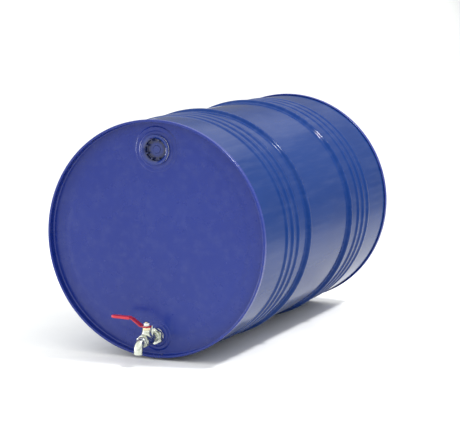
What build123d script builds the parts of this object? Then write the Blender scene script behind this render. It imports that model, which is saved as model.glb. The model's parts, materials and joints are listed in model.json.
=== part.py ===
from build123d import *
import os
from math import atan2, cos, degrees, radians, sin

# Steel oil drum of 216.5 litres, lying on its side, with a ball tap in its small bung and a screw plug
# in its large bung. Millimetres. The drum's axis runs along Y, its front head faces -Y and Z is up.
# The origin is on the lowest line of the two rolling hoops, midway between the chimes.

# ---- driving dimensions: drum --------------------------------------------------------------------
DRUM_LENGTH = 880.0        # over both chimes
SHEET = 1.0                # body and head sheet
BODY_INNER_R = 285.75      # 571.5 mm inside diameter
HOOP_R = 295.0             # over the rolling hoops
HEAD_RECESS = 19.0         # outer face of the head below the chime
SEAM_GAP = 0.25            # room for the sealing compound between the sheets of a seam
SEAM_ROOT = 20.0           # plain wall beside each seam
OUTER_PANEL = 11.75        # depth of the chime's outer panel
BODY_HOOK = 10.5           # depth at which the body's folded edge ends
HEAD_HOOK = 4.2            # and the head's
HEAD_CORNER_R = 4.0        # bend from the head into the chime
CHIME_CORNER_R = 1.8
HOOK_CORNER_R = 1.24
COMPOUND_START = 4.0       # depths of the sealing compound's ring
COMPOUND_END = 12.0
HOOP_OFFSET = 147.0        # each hoop from mid length
HOOP_HALF_WIDTH = 17.0
BEAD_OFFSETS = (216.0, 253.0, 290.0)
BEAD_HALF_WIDTH = 15.0
BEAD_HEIGHT = 3.6
LARGE_BUNG_UP = 217.0      # above the drum's axis
SMALL_BUNG_DOWN = 238.0    # below the drum's axis

# ---- driving dimensions: bungs --------------------------------------------------------------------
PANEL_RISE = 1.2           # the raised middle of a head
PANEL_R = 250.0
PAD_RISE = 2.2             # the soft pad round a bung
RING_RISE = 4.5            # the ring that holds a bung flange
LARGE_THREAD_R = 29.35     # G2
LARGE_PITCH = 2.309
SMALL_THREAD_R = 13.17     # G3/4
SMALL_PITCH = 1.814
THREAD_FIT = 0.05          # radial room of a screwed piece in its flange
THREAD_DEPTH = 0.6         # as a share of the pitch
THREAD_EDGE = 0.8          # chamfer at a thread's end
THREAD_RELIEF = 0.45       # room of a gasket round a thread
EDGE = 0.5                 # other broken edges of the flanges
LARGE_PAD_R = 57.0
LARGE_RING_R = 48.0
LARGE_NECK_R = 34.0
LARGE_BASE_FLATS = 76.0
NECK_ROOM = 0.2            # round a flange's neck in the head
SMALL_PAD_R = 37.5
SMALL_RING_R = 30.0
SMALL_NECK_R = 16.5
SMALL_BASE_FLATS = 42.0
FLANGE_GASKET = 1.0
FLANGE_BASE = 4.0
LIP_HEIGHT = 1.4
LIP_REACH = 2.0
SKIRT_LENGTH = 9.5
PLUG_GASKET = 1.5
PLUG_HEAD_R = 36.5
PLUG_HEAD = 4.0
PLUG_SKIRT = 12.2
PLUG_SKIRT_TAPER = 2.0
PLUG_EDGE = 1.0
PLUG_MOUTH_R = 32.0        # recess for the bung wrench, at the head
PLUG_THROAT_R = 26.6       # and inside the thread
PLUG_FLOOR = 2.2
PLUG_RIBS = 8              # ribs that the bung wrench turns
PLUG_RIB_R = 21.5
PLUG_RIB_WIDTH = 4.0
PLUG_BUTTON_R = 9.0
PLUG_BUTTON = 1.5
GASKET_OVERHANG = 1.4

# ---- driving dimensions: tap ----------------------------------------------------------------------
TAP_REACH = 60.0           # stem axis in front of the head
SPOUT_REACH = 45.0         # spout's downward run in front of the stem
SPOUT_DROP = 27.0          # spout's end below the tap's axis
SPOUT_R = 10.5
SPOUT_BEND = 19.0
BORE_R = 7.0               # waterway
TAP_GASKET = 2.0
TAIL_LENGTH = 16.0
COLLAR = 10.0
COLLAR_FLATS = 36.0
CROWN = 1.1                # depth to which the corners of a hexagon are turned off
TAIL_WALL_TAPER = 1.6
TAIL_RELIEF = 2.6          # plain length between the tail's thread and its collar
NECK_FILLET = 2.5
NECK_R = 11.5
CHAMBER_R = 15.0
CHAMBER_BORE_R = 12.0
CHAMBER_FRONT = 20.0       # front of the chamber ahead of the stem
CHAMBER_REAR = 17.0
CHAMBER_EDGE = 1.5
SPOUT_NUT = 5.0
SPOUT_SEAL = 1.0
SPOUT_NUT_FLATS = 26.0
BALL_R = 11.0
SEAT_FAR = 11.5            # seats' outer faces from the ball's centre
SEAT_NEAR = 6.9
RUNNING_FIT = 0.05
SLOT_ROOM = 0.2
STEM_ROOM = 0.4            # round the stem's collar in its counterbore
END_PLAY = 0.1             # between the stem's collar and the thrust washer
STEM_R = 5.0
STEM_COLLAR_R = 6.5
STEM_SQUARE = 8.0
STEM_EDGE = 0.8
STEM_THREAD_R = 3.95
TANG = 4.0
TANG_LENGTH = 10.0
BOSS_R = 10.0
BOSS_TOP = 25.0            # heights from here on are above the tap's axis
BALL_SLOT_FLOOR = 7.8
COLLAR_BOTTOM = 11.4
COLLAR_TOP = 13.4
THRUST_TOP = 14.4
PACKING_BOTTOM = 18.0
PACKING_TOP = 22.0
PACKING_R = 7.5
GLAND_TOP = 31.0
GLAND_FLATS = 18.0
LEVER_BOTTOM = 31.5
LEVER_SHEET = 3.0
LEVER_RISE = 17.5
LEVER_TIP_RISE = 1.0
LEVER_CRANK = (13.0, 39.0)  # start and end of the slope, from the stem
LEVER_LENGTH = 92.0
LEVER_WIDTH = 18.0
LEVER_BEND = 9.0
LEVER_HUB_R = 15.0
LEVER_TURN = 90.0
LUG_R = 13.6
LUG_WIDTH = 3.6
LUG_DEPTH = 2.4
LUG_FOOT = 9.5
LUG_ANGLE = 45.0
LUG_ROOM = 1.6             # degrees left between the lug and the lever at each limit
NOTCH_R = 11.8
GRIP_START = 42.0
GRIP_REACH = 100.0
GRIP_WALL = 1.8
WASHER = 1.0
WASHER_R = 8.5
NUT_HEIGHT = 6.5
NUT_FLATS = 13.0
STEM_TOP = 44.0
CUT = 20.0                 # how far a cutting shape reaches past the piece that it cuts

# ---- worked out -----------------------------------------------------------------------------------
HALF = DRUM_LENGTH / 2
AXIS_Z = HOOP_R
BODY_OUTER_R = BODY_INNER_R + SHEET
WALL_R = BODY_INNER_R + SHEET / 2
LAYER = SHEET + SEAM_GAP
DISC_R = WALL_R - LAYER - 11   # flat part of a head's sheet, inside the bend into the chime
HEAD_FACE = -HALF + HEAD_RECESS
RING_FACE = HEAD_FACE - RING_RISE
BUNG_SEAT = RING_FACE - LIP_HEIGHT
LARGE_Z = AXIS_Z + LARGE_BUNG_UP
TAP_Z = AXIS_Z - SMALL_BUNG_DOWN
STEM_Y = HEAD_FACE - TAP_REACH
TAP_SEAT = BUNG_SEAT - TAP_GASKET
CHAMBER_MOUTH = STEM_Y - CHAMBER_FRONT
SPOUT_Y = STEM_Y - SPOUT_REACH


# ---- helpers --------------------------------------------------------------------------------------
def save(shape, name):
    """Write one piece to its own STEP file."""
    shape.label = name
    export_step(shape, f"parts/{name}.step")


def turned(outline, height):
    """Solid turned about a line along Y at this height, from (radius, y) points."""
    face = make_face(Polyline(*outline, close=True))
    return Pos(0, 0, height) * revolve(face, Axis.Y)


def upright(outline):
    """Solid turned about the valve's stem, from (radius, height above the tap's axis) points."""
    face = make_face(Polyline(*[(r, 0, z) for r, z in outline], close=True))
    return Pos(0, STEM_Y, TAP_Z) * revolve(face, Axis.Z)


def ring(inner, outer, near, far, height):
    """Plain ring about a line along Y."""
    return turned([(inner, near), (outer, near), (outer, far), (inner, far)], height)


def prism_y(flats, sides, near, far, height):
    """Hexagonal or octagonal prism along Y, with two flats upright."""
    plane = Plane(origin=(0, near, height), x_dir=(1, 0, 0), z_dir=(0, 1, 0))
    outline = RegularPolygon(flats / 2, sides, major_radius=False, rotation=180 / sides)
    return extrude(plane * outline, far - near)


def prism_up(flats, bottom, top):
    """Hexagonal prism about the valve's stem."""
    outline = RegularPolygon(flats / 2, 6, major_radius=False)
    return Pos(0, STEM_Y, TAP_Z + bottom) * extrude(outline, top - bottom)


def hexagon_y(flats, near, far, height):
    """Hexagonal collar along Y with the corners of both faces turned off."""
    corner = flats / 2 / cos(radians(30))
    crown = turned([(0, near), (corner - 2 * CROWN, near), (corner, near + CROWN), (corner, far - CROWN),
                    (corner - 2 * CROWN, far), (0, far)], height)
    return prism_y(flats, 6, near, far, height) & crown


def nut_up(flats, bottom, top):
    """Hexagonal nut about the valve's stem with its upper corners turned off."""
    corner = flats / 2 / cos(radians(30))
    crown = upright([(0, bottom), (corner, bottom), (corner, top - CROWN), (corner - CROWN, top), (0, top)])
    return prism_up(flats, bottom, top) & crown


def thread_points(radius, pitch, start, stop):
    """Zigzag of (radius, y) points from start to stop, with its crests at the radius."""
    count = int(abs(stop - start) / pitch)
    step = (stop - start) / count
    root = radius - THREAD_DEPTH * pitch
    points = []
    for turn in range(count):
        points.append((radius, start + step * (turn + 0.05)))
        points.append((root, start + step * (turn + 0.5)))
        points.append((radius, start + step * (turn + 0.95)))
    return points


# ---- body and heads -------------------------------------------------------------------------------
def swell(centre, half_width, height):
    """Edges of one smooth outward swell of the wall's middle line."""
    top = WALL_R + height
    flank = WALL_R + height / 2
    near = centre - half_width
    far = centre + half_width
    rise = TangentArc((WALL_R, near), (flank, centre - half_width / 2), tangent=(0, 1))
    crest = ThreePointArc((flank, centre - half_width / 2), (top, centre), (flank, centre + half_width / 2))
    fall = TangentArc((WALL_R, far), (flank, centre + half_width / 2), tangent=(0, -1))
    return [rise, crest, fall]


def wall_edges(near, far):
    """Middle line of the wall between the two seams, with its hoops and beads."""
    hoop = HOOP_R - BODY_OUTER_R
    swells = [(side * HOOP_OFFSET, HOOP_HALF_WIDTH, hoop) for side in (-1, 1)]
    swells += [(side * bead, BEAD_HALF_WIDTH, BEAD_HEIGHT) for side in (-1, 1) for bead in BEAD_OFFSETS]
    edges = []
    last = near
    for centre, half_width, height in sorted(swells):
        edges.append(Line((WALL_R, last), (WALL_R, centre - half_width)))
        edges += swell(centre, half_width, height)
        last = centre + half_width
    edges.append(Line((WALL_R, last), (WALL_R, far)))
    return edges


def body_hook(side):
    """Middle line of the body's edge where it is folded into the seam, at the head on this side."""
    hook_r = WALL_R + 2 * LAYER
    crown = side * (HALF - SHEET - SEAM_GAP / 2 - SHEET / 2)
    root = side * (HALF - SEAM_ROOT)
    end = side * (HALF - BODY_HOOK)
    return FilletPolyline((WALL_R, root), (WALL_R, crown), (hook_r, crown), (hook_r, end),
                          radius=HOOK_CORNER_R)


def body_shell():
    """Rolled sheet: both folded edges and the wall between them."""
    root = HALF - SEAM_ROOT
    line = Wire([*body_hook(-1).edges(), *[e.edge() for e in wall_edges(-root, root)], *body_hook(1).edges()])
    wall = trace(line, SHEET)
    return Pos(0, 0, AXIS_Z) * revolve(wall, Axis.Y)


def head_rim():
    """Front head's edge: countersink wall, crown of the chime, outer panel and hook."""
    wall_r = WALL_R - LAYER
    crown = -HALF + SHEET / 2
    outer_r = WALL_R + 3 * LAYER
    under = -HALF + OUTER_PANEL
    hook_r = WALL_R + LAYER
    path = FilletPolyline(
        (DISC_R - SHEET, HEAD_FACE + SHEET / 2),
        (wall_r, HEAD_FACE + SHEET / 2),
        (wall_r, crown),
        (outer_r, crown),
        (outer_r, under),
        (hook_r, under),
        (hook_r, -HALF + HEAD_HOOK),
        radius=[HEAD_CORNER_R, CHIME_CORNER_R, CHIME_CORNER_R, HOOK_CORNER_R, HOOK_CORNER_R],
    )
    return Pos(0, 0, AXIS_Z) * revolve(trace(path, SHEET), Axis.Y)


def raised(radius, rise, height):
    """Cone with sides at 45 degrees that stands out of the head's face."""
    return turned([(0, HEAD_FACE), (radius, HEAD_FACE), (radius - rise, HEAD_FACE - rise),
                   (0, HEAD_FACE - rise)], height)


def head(bungs):
    """Front head. Each bung is a height, a pad radius, a ring radius and a hole radius."""
    relief = ring(0, DISC_R, HEAD_FACE, HEAD_FACE + CUT, AXIS_Z)
    relief += raised(PANEL_R, PANEL_RISE, AXIS_Z)
    for height, pad_r, ring_r, hole_r in bungs:
        relief += raised(pad_r, PAD_RISE, height)
        relief += raised(ring_r, RING_RISE, height)
    panel = relief - Pos(0, SHEET, 0) * relief
    panel &= ring(0, DISC_R, HEAD_FACE - CUT, HEAD_FACE + SHEET, AXIS_Z)
    for height, pad_r, ring_r, hole_r in bungs:
        panel -= ring(0, hole_r, HEAD_FACE - CUT, HEAD_FACE + CUT, height)
    return panel + head_rim()


def seam_compound():
    """Thin ring of sealing compound between the front head's wall and the body."""
    return ring(BODY_INNER_R - SEAM_GAP, BODY_INNER_R, -HALF + COMPOUND_START, -HALF + COMPOUND_END, AXIS_Z)


# ---- bungs ----------------------------------------------------------------------------------------
def bung_flange(neck_r, base_flats, thread_r, height):
    """Threaded flange: lip over the head, neck, eight-sided base and skirt."""
    bore_r = thread_r + THREAD_FIT
    base_near = RING_FACE + SHEET + FLANGE_GASKET
    base_far = base_near + FLANGE_BASE
    skirt_end = base_far + SKIRT_LENGTH
    neck = turned([(bore_r + THREAD_EDGE, BUNG_SEAT), (neck_r + LIP_REACH - EDGE, BUNG_SEAT),
                   (neck_r + LIP_REACH, BUNG_SEAT + EDGE), (neck_r + LIP_REACH, RING_FACE),
                   (neck_r, RING_FACE), (neck_r, skirt_end - EDGE), (neck_r - EDGE, skirt_end),
                   (bore_r, skirt_end), (bore_r, BUNG_SEAT + THREAD_EDGE)], height)
    base = prism_y(base_flats, 8, base_near, base_far, height)
    base -= ring(0, (bore_r + neck_r) / 2, base_near - CUT, base_far + CUT, height)
    return neck + base


def flange_gasket(neck_r, base_flats, height):
    """Ring between the head and the flange's base."""
    near = RING_FACE + SHEET
    return ring(neck_r, base_flats / 2, near, near + FLANGE_GASKET, height)


def large_bung_plug():
    """Screw plug: a threaded cup whose recess has ribs for the bung wrench and a button in its floor."""
    under = BUNG_SEAT - PLUG_GASKET
    top = under - PLUG_HEAD
    end = under + PLUG_SKIRT
    floor = end - PLUG_FLOOR
    shoulder = under + PLUG_EDGE
    outline = [(0, end), (LARGE_THREAD_R - PLUG_SKIRT_TAPER, end)]
    outline += thread_points(LARGE_THREAD_R, LARGE_PITCH, end - THREAD_EDGE, under + PLUG_EDGE)
    outline += [(LARGE_THREAD_R - EDGE, under), (PLUG_HEAD_R, under), (PLUG_HEAD_R, top + PLUG_EDGE),
                (PLUG_HEAD_R - PLUG_EDGE, top), (PLUG_MOUTH_R + PLUG_EDGE, top),
                (PLUG_MOUTH_R, top + PLUG_EDGE), (PLUG_THROAT_R, shoulder), (PLUG_THROAT_R - PLUG_EDGE, floor),
                (PLUG_BUTTON_R + PLUG_EDGE, floor), (PLUG_BUTTON_R, floor - PLUG_BUTTON),
                (0, floor - PLUG_BUTTON)]
    plug = turned(outline, LARGE_Z)
    reach = PLUG_THROAT_R - PLUG_RIB_R
    depth = floor - shoulder + EDGE
    for turn in range(PLUG_RIBS):
        rib = Pos(PLUG_RIB_R + reach / 2, floor - depth / 2, 0) * Box(reach, depth, PLUG_RIB_WIDTH)
        plug += Pos(0, 0, LARGE_Z) * (Rot(0, 360 / PLUG_RIBS * (turn + 0.5), 0) * rib)
    return plug


def plug_gasket():
    """Ring under the plug's head."""
    inner = LARGE_THREAD_R + THREAD_RELIEF
    return ring(inner, LARGE_NECK_R + GASKET_OVERHANG, BUNG_SEAT - PLUG_GASKET, BUNG_SEAT, LARGE_Z)


# ---- tap ------------------------------------------------------------------------------------------
def stop_lug():
    """Lug beside the stem that stops the lever when the valve is open and when it is closed."""
    top = LEVER_BOTTOM + LEVER_SHEET
    lug = Pos(LUG_R, 0, (LUG_FOOT + top) / 2) * Box(LUG_DEPTH, LUG_WIDTH, top - LUG_FOOT)
    return Pos(0, STEM_Y, TAP_Z) * (Rot(0, 0, LUG_ANGLE) * lug)


def tap_gasket():
    """Ring between the small bung and the tap's collar."""
    return ring(SMALL_THREAD_R + THREAD_RELIEF, SMALL_NECK_R + LIP_REACH, TAP_SEAT, BUNG_SEAT, TAP_Z)


def tap_body():
    """Threaded tail, hexagonal collar, neck and ball chamber with the stem's boss on top."""
    tail_end = TAP_SEAT + TAIL_LENGTH
    collar_front = TAP_SEAT - COLLAR
    chamber_back = STEM_Y + CHAMBER_REAR
    shoulder = STEM_Y + SEAT_FAR
    relief_r = SMALL_THREAD_R - THREAD_EDGE
    outline = [(BORE_R, tail_end), (SMALL_THREAD_R - TAIL_WALL_TAPER, tail_end)]
    outline += thread_points(SMALL_THREAD_R, SMALL_PITCH, tail_end - THREAD_EDGE, TAP_SEAT + TAIL_RELIEF)
    outline += [(relief_r, TAP_SEAT + TAIL_RELIEF - THREAD_EDGE), (relief_r, collar_front),
                (NECK_R + NECK_FILLET, collar_front), (NECK_R, collar_front - NECK_FILLET),
                (NECK_R, chamber_back + NECK_FILLET), (CHAMBER_R - CHAMBER_EDGE, chamber_back),
                (CHAMBER_R, chamber_back - CHAMBER_EDGE), (CHAMBER_R, CHAMBER_MOUTH + CHAMBER_EDGE),
                (CHAMBER_R - CHAMBER_EDGE, CHAMBER_MOUTH), (CHAMBER_BORE_R, CHAMBER_MOUTH),
                (CHAMBER_BORE_R, shoulder), (BORE_R, shoulder)]
    body = turned(outline, TAP_Z)
    collar = hexagon_y(COLLAR_FLATS, collar_front, TAP_SEAT, TAP_Z)
    body += collar - ring(0, (BORE_R + relief_r) / 2, collar_front - CUT, TAP_SEAT + CUT, TAP_Z)
    bottom = CHAMBER_BORE_R - 3
    boss = upright([(0, bottom), (BOSS_R, bottom), (BOSS_R, BOSS_TOP - CHAMBER_EDGE),
                    (BOSS_R - CHAMBER_EDGE, BOSS_TOP), (0, BOSS_TOP)])
    body += boss - ring(0, CHAMBER_BORE_R, CHAMBER_MOUTH, shoulder, TAP_Z)
    body += stop_lug() - ring(0, (CHAMBER_BORE_R + CHAMBER_R) / 2, CHAMBER_MOUTH, shoulder, TAP_Z)
    counterbore_r = STEM_COLLAR_R + STEM_ROOM
    shaft_r = STEM_R + RUNNING_FIT
    body -= upright([(0, bottom), (counterbore_r, bottom), (counterbore_r, THRUST_TOP), (shaft_r, THRUST_TOP),
                     (shaft_r, PACKING_BOTTOM), (PACKING_R, PACKING_BOTTOM), (PACKING_R, BOSS_TOP + CUT),
                     (0, BOSS_TOP + CUT)])
    return body


def ball_seat(side):
    """Seat ring with a spherical face: side 1 is the inlet, side -1 the outlet."""
    near = STEM_Y + side * SEAT_NEAR
    far = STEM_Y + side * SEAT_FAR
    seat = ring(BORE_R, CHAMBER_BORE_R, near, far, TAP_Z)
    seat -= Pos(0, STEM_Y, TAP_Z) * Sphere(BALL_R + RUNNING_FIT)
    return seat


def tap_ball():
    """Ball with its waterway across the flow while the valve is shut, and a slot for the stem."""
    ball = Pos(0, STEM_Y, TAP_Z) * Sphere(BALL_R)
    ball -= Pos(0, STEM_Y, TAP_Z) * (Rot(0, 90, 0) * Cylinder(BORE_R, 3 * BALL_R))
    slot = Pos(0, STEM_Y, TAP_Z + BALL_SLOT_FLOOR + BALL_R / 2) * Box(TANG + SLOT_ROOM, 3 * BALL_R, BALL_R)
    return ball - slot


def valve_stem():
    """Tang, collar, round shaft, square for the lever and threaded end."""
    shaft = upright([(0, COLLAR_BOTTOM), (STEM_COLLAR_R, COLLAR_BOTTOM), (STEM_COLLAR_R, COLLAR_TOP),
                     (STEM_R, COLLAR_TOP), (STEM_R, LEVER_BOTTOM), (0, LEVER_BOTTOM)])
    square_top = LEVER_BOTTOM + LEVER_SHEET - SLOT_ROOM
    square = Pos(0, STEM_Y, TAP_Z + (LEVER_BOTTOM + square_top) / 2)
    square *= Box(STEM_SQUARE, STEM_SQUARE, square_top - LEVER_BOTTOM)
    square &= upright([(0, LEVER_BOTTOM), (STEM_R, LEVER_BOTTOM), (STEM_R, square_top), (0, square_top)])
    end = upright([(0, square_top), (STEM_THREAD_R, square_top), (STEM_THREAD_R, STEM_TOP - STEM_EDGE),
                   (STEM_THREAD_R - STEM_EDGE, STEM_TOP), (0, STEM_TOP)])
    tang_bottom = BALL_SLOT_FLOOR + SLOT_ROOM
    tang = Pos(0, STEM_Y, TAP_Z + (tang_bottom + COLLAR_BOTTOM) / 2)
    tang *= Box(TANG, TANG_LENGTH, COLLAR_BOTTOM - tang_bottom)
    return shaft + square + end + tang


def thrust_washer():
    """Ring between the stem's collar and the body."""
    inner = STEM_R + RUNNING_FIT
    outer = STEM_COLLAR_R + STEM_ROOM - END_PLAY
    bottom = COLLAR_TOP + END_PLAY
    return upright([(inner, bottom), (outer, bottom), (outer, THRUST_TOP), (inner, THRUST_TOP)])


def stem_packing():
    """Ring that the gland nut presses round the stem."""
    inner = STEM_R + RUNNING_FIT
    return upright([(inner, PACKING_BOTTOM), (PACKING_R, PACKING_BOTTOM), (PACKING_R, PACKING_TOP),
                    (inner, PACKING_TOP)])


def gland_nut():
    """Nut that presses on the stem's packing."""
    spigot_r = PACKING_R - END_PLAY
    bore_r = STEM_R + RUNNING_FIT
    nut = nut_up(GLAND_FLATS, BOSS_TOP, GLAND_TOP)
    nut += upright([(0, PACKING_TOP), (spigot_r, PACKING_TOP), (spigot_r, BOSS_TOP), (0, BOSS_TOP)])
    return nut - upright([(0, 0), (bore_r, 0), (bore_r, GLAND_TOP + CUT), (0, GLAND_TOP + CUT)])


def tap_spout():
    """Screwed shank and nut, then a tube that bends down to the spout's mouth."""
    shank_end = STEM_Y - SEAT_FAR
    nut_back = CHAMBER_MOUTH - SPOUT_SEAL
    nut_front = nut_back - SPOUT_NUT
    within = nut_front + SPOUT_SEAL
    path = FilletPolyline((0, within, TAP_Z), (0, SPOUT_Y, TAP_Z), (0, SPOUT_Y, TAP_Z - SPOUT_DROP),
                          radius=SPOUT_BEND)
    start = Plane(origin=(0, within, TAP_Z), z_dir=(0, -1, 0))
    outer = sweep(start * Circle(SPOUT_R), path=path)
    inner = sweep(start * Circle(BORE_R), path=path)
    nut = hexagon_y(SPOUT_NUT_FLATS, nut_front, nut_back, TAP_Z)
    shank = ring(0, CHAMBER_BORE_R - END_PLAY, nut_back, shank_end, TAP_Z)
    spout = nut + shank + outer
    spout -= ring(0, BORE_R, nut_front, shank_end + CUT, TAP_Z)
    return spout - inner


def spout_seal():
    """Ring between the chamber's mouth and the spout's nut."""
    outer = CHAMBER_R - CHAMBER_EDGE
    return ring(CHAMBER_BORE_R, outer, CHAMBER_MOUTH - SPOUT_SEAL, CHAMBER_MOUTH, TAP_Z)


def lever_strip(thickness, width, tip):
    """Cranked strip from the hub to its tip along -X, with a rounded end, about the stem."""
    low = LEVER_BOTTOM + LEVER_SHEET / 2
    high = low + LEVER_RISE
    start = LEVER_HUB_R + 1
    foot, head_end = LEVER_CRANK
    path = Plane.XZ * FilletPolyline((start, low), (-foot, low), (-head_end, high),
                                     (-tip - 5, high + LEVER_TIP_RISE), radius=LEVER_BEND)
    section = Plane(origin=(start, 0, low), z_dir=(-1, 0, 0)) * Rectangle(thickness, 2 * LEVER_HUB_R)
    strip = sweep(section, path=path)
    straight = tip - width / 2
    plan = Circle(LEVER_HUB_R) + Pos(-straight / 2, 0) * Rectangle(straight, width)
    plan += Pos(-straight, 0) * Circle(width / 2)
    return Pos(0, STEM_Y, TAP_Z) * (strip & extrude(plan, 2 * high))


def hub_notch():
    """Slice of the lever's hub that leaves room for the stop lug over the lever's whole turn."""
    lug_half = degrees(atan2(LUG_WIDTH / 2, LUG_R - LUG_DEPTH / 2))
    half = LEVER_TURN / 2 + lug_half + LUG_ROOM
    reach = 2 * LEVER_HUB_R
    edge = (reach * cos(radians(half)), reach * sin(radians(half)))
    sector = make_face(Polyline((0, 0), (edge[0], -edge[1]), (reach, 0), edge, close=True))
    notch = extrude(sector - Circle(NOTCH_R), 2 * LEVER_SHEET)
    return Pos(0, STEM_Y, TAP_Z + LEVER_BOTTOM - LEVER_SHEET / 2) * notch


def tap_lever():
    """Lever with its notch for the stop lug and the square hole for the stem."""
    strip = lever_strip(LEVER_SHEET, LEVER_WIDTH, LEVER_LENGTH)
    hole_side = STEM_SQUARE + SLOT_ROOM
    hole = Pos(0, STEM_Y, TAP_Z + LEVER_BOTTOM + LEVER_SHEET / 2) * Box(hole_side, hole_side, 2 * LEVER_SHEET)
    return strip - hub_notch() - hole


def lever_grip(lever):
    """Dipped plastic sleeve over the lever's handle."""
    grip = lever_strip(LEVER_SHEET + 2 * GRIP_WALL, LEVER_WIDTH + 2 * GRIP_WALL, LEVER_LENGTH + GRIP_WALL)
    middle = -GRIP_START - GRIP_REACH / 2
    keep = Pos(middle, STEM_Y, TAP_Z + LEVER_BOTTOM) * Box(GRIP_REACH, GRIP_REACH, GRIP_REACH)
    return grip & keep - lever


def lever_washer():
    """Washer between the lever and its nut."""
    top = LEVER_BOTTOM + LEVER_SHEET + WASHER
    inner = STEM_THREAD_R + SLOT_ROOM
    return upright([(inner, top - WASHER), (WASHER_R, top - WASHER), (WASHER_R, top), (inner, top)])


def lever_nut():
    """Nut on the stem's threaded end."""
    bottom = LEVER_BOTTOM + LEVER_SHEET + WASHER
    bore_r = STEM_THREAD_R + RUNNING_FIT
    nut = nut_up(NUT_FLATS, bottom, bottom + NUT_HEIGHT)
    return nut - upright([(0, 0), (bore_r, 0), (bore_r, STEM_TOP + CUT), (0, STEM_TOP + CUT)])


# ---- build and write ------------------------------------------------------------------------------
os.makedirs("parts", exist_ok=True)

save(body_shell(), "body_shell")
save(head([(LARGE_Z, LARGE_PAD_R, LARGE_RING_R, LARGE_NECK_R + NECK_ROOM),
           (TAP_Z, SMALL_PAD_R, SMALL_RING_R, SMALL_NECK_R + NECK_ROOM)]), "front_head")
save(mirror(head([]), about=Plane.XZ), "rear_head")
save(seam_compound(), "front_seam_compound")
save(mirror(seam_compound(), about=Plane.XZ), "rear_seam_compound")

save(bung_flange(LARGE_NECK_R, LARGE_BASE_FLATS, LARGE_THREAD_R, LARGE_Z), "large_bung_flange")
save(flange_gasket(LARGE_NECK_R, LARGE_BASE_FLATS, LARGE_Z), "large_flange_gasket")
save(large_bung_plug(), "large_bung_plug")
save(plug_gasket(), "plug_gasket")
save(bung_flange(SMALL_NECK_R, SMALL_BASE_FLATS, SMALL_THREAD_R, TAP_Z), "small_bung_flange")
save(flange_gasket(SMALL_NECK_R, SMALL_BASE_FLATS, TAP_Z), "small_flange_gasket")

save(tap_gasket(), "tap_gasket")
save(tap_body(), "tap_body")
save(ball_seat(1), "inlet_ball_seat")
save(ball_seat(-1), "outlet_ball_seat")
save(tap_spout(), "tap_spout")
save(spout_seal(), "spout_seal")
save(thrust_washer(), "thrust_washer")
save(stem_packing(), "stem_packing")
save(gland_nut(), "gland_nut")
save(tap_ball(), "tap_ball")
save(valve_stem(), "valve_stem")
lever = tap_lever()
save(lever, "tap_lever")
save(lever_grip(lever), "lever_grip")
save(lever_washer(), "lever_washer")
save(lever_nut(), "lever_nut")
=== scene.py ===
import json
from math import atan2, cos, degrees, pi, radians, sin, tan

import bpy
from mathutils import Matrix, Vector


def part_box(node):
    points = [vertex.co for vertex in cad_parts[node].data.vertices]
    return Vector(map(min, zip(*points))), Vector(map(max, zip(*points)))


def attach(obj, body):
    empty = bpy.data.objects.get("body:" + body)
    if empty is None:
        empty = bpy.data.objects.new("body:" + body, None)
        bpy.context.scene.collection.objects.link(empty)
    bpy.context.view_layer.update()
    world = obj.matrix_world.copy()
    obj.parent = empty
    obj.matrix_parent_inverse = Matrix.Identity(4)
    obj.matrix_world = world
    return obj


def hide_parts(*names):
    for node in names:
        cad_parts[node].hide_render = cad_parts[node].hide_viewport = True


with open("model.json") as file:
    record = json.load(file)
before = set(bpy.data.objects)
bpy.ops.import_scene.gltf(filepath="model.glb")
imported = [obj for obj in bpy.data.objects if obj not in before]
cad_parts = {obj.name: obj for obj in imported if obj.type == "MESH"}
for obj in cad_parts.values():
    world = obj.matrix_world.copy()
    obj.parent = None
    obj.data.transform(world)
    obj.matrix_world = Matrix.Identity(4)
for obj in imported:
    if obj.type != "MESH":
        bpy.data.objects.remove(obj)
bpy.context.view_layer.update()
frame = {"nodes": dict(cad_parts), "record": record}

# ---- places, from the frame, and sizes, in metres --------------------------------------------
MM = 0.001
body_low, body_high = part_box("body_shell")
head_low, head_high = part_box("front_head")
rear_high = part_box("rear_head")[1]
plug_low, plug_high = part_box("large_bung_plug")
seal_low, seal_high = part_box("tap_gasket")
tap_low, tap_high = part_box("tap_body")
stem_low, stem_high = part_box("valve_stem")
gland_low, gland_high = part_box("gland_nut")
spout_low, spout_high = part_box("tap_spout")
lever_low, lever_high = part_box("tap_lever")
grip_low, grip_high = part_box("lever_grip")
washer_low, washer_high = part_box("lever_washer")
nut_low, nut_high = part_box("lever_nut")

HOOP_R = (body_high.x - body_low.x) / 2
AXIS_Z = (body_high.z + body_low.z) / 2
CHIME_R = (head_high.x - head_low.x) / 2
FRONT_Y = head_low.y
REAR_Y = rear_high.y
HALF = (REAR_Y - FRONT_Y) / 2
SHEET = 1.0 * MM
SEAM_LAYER = 1.25 * MM                 # one sheet of the seam and the compound beside it
WALL_R = CHIME_R - SHEET / 2 - 3 * SEAM_LAYER
RECESS = 19.0 * MM
FACE_Y = FRONT_Y + RECESS
BUNG_Z = (plug_low.z + plug_high.z) / 2
TAP_Z = (seal_low.z + seal_high.z) / 2
STEM_Y = (stem_low.y + stem_high.y) / 2

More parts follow.
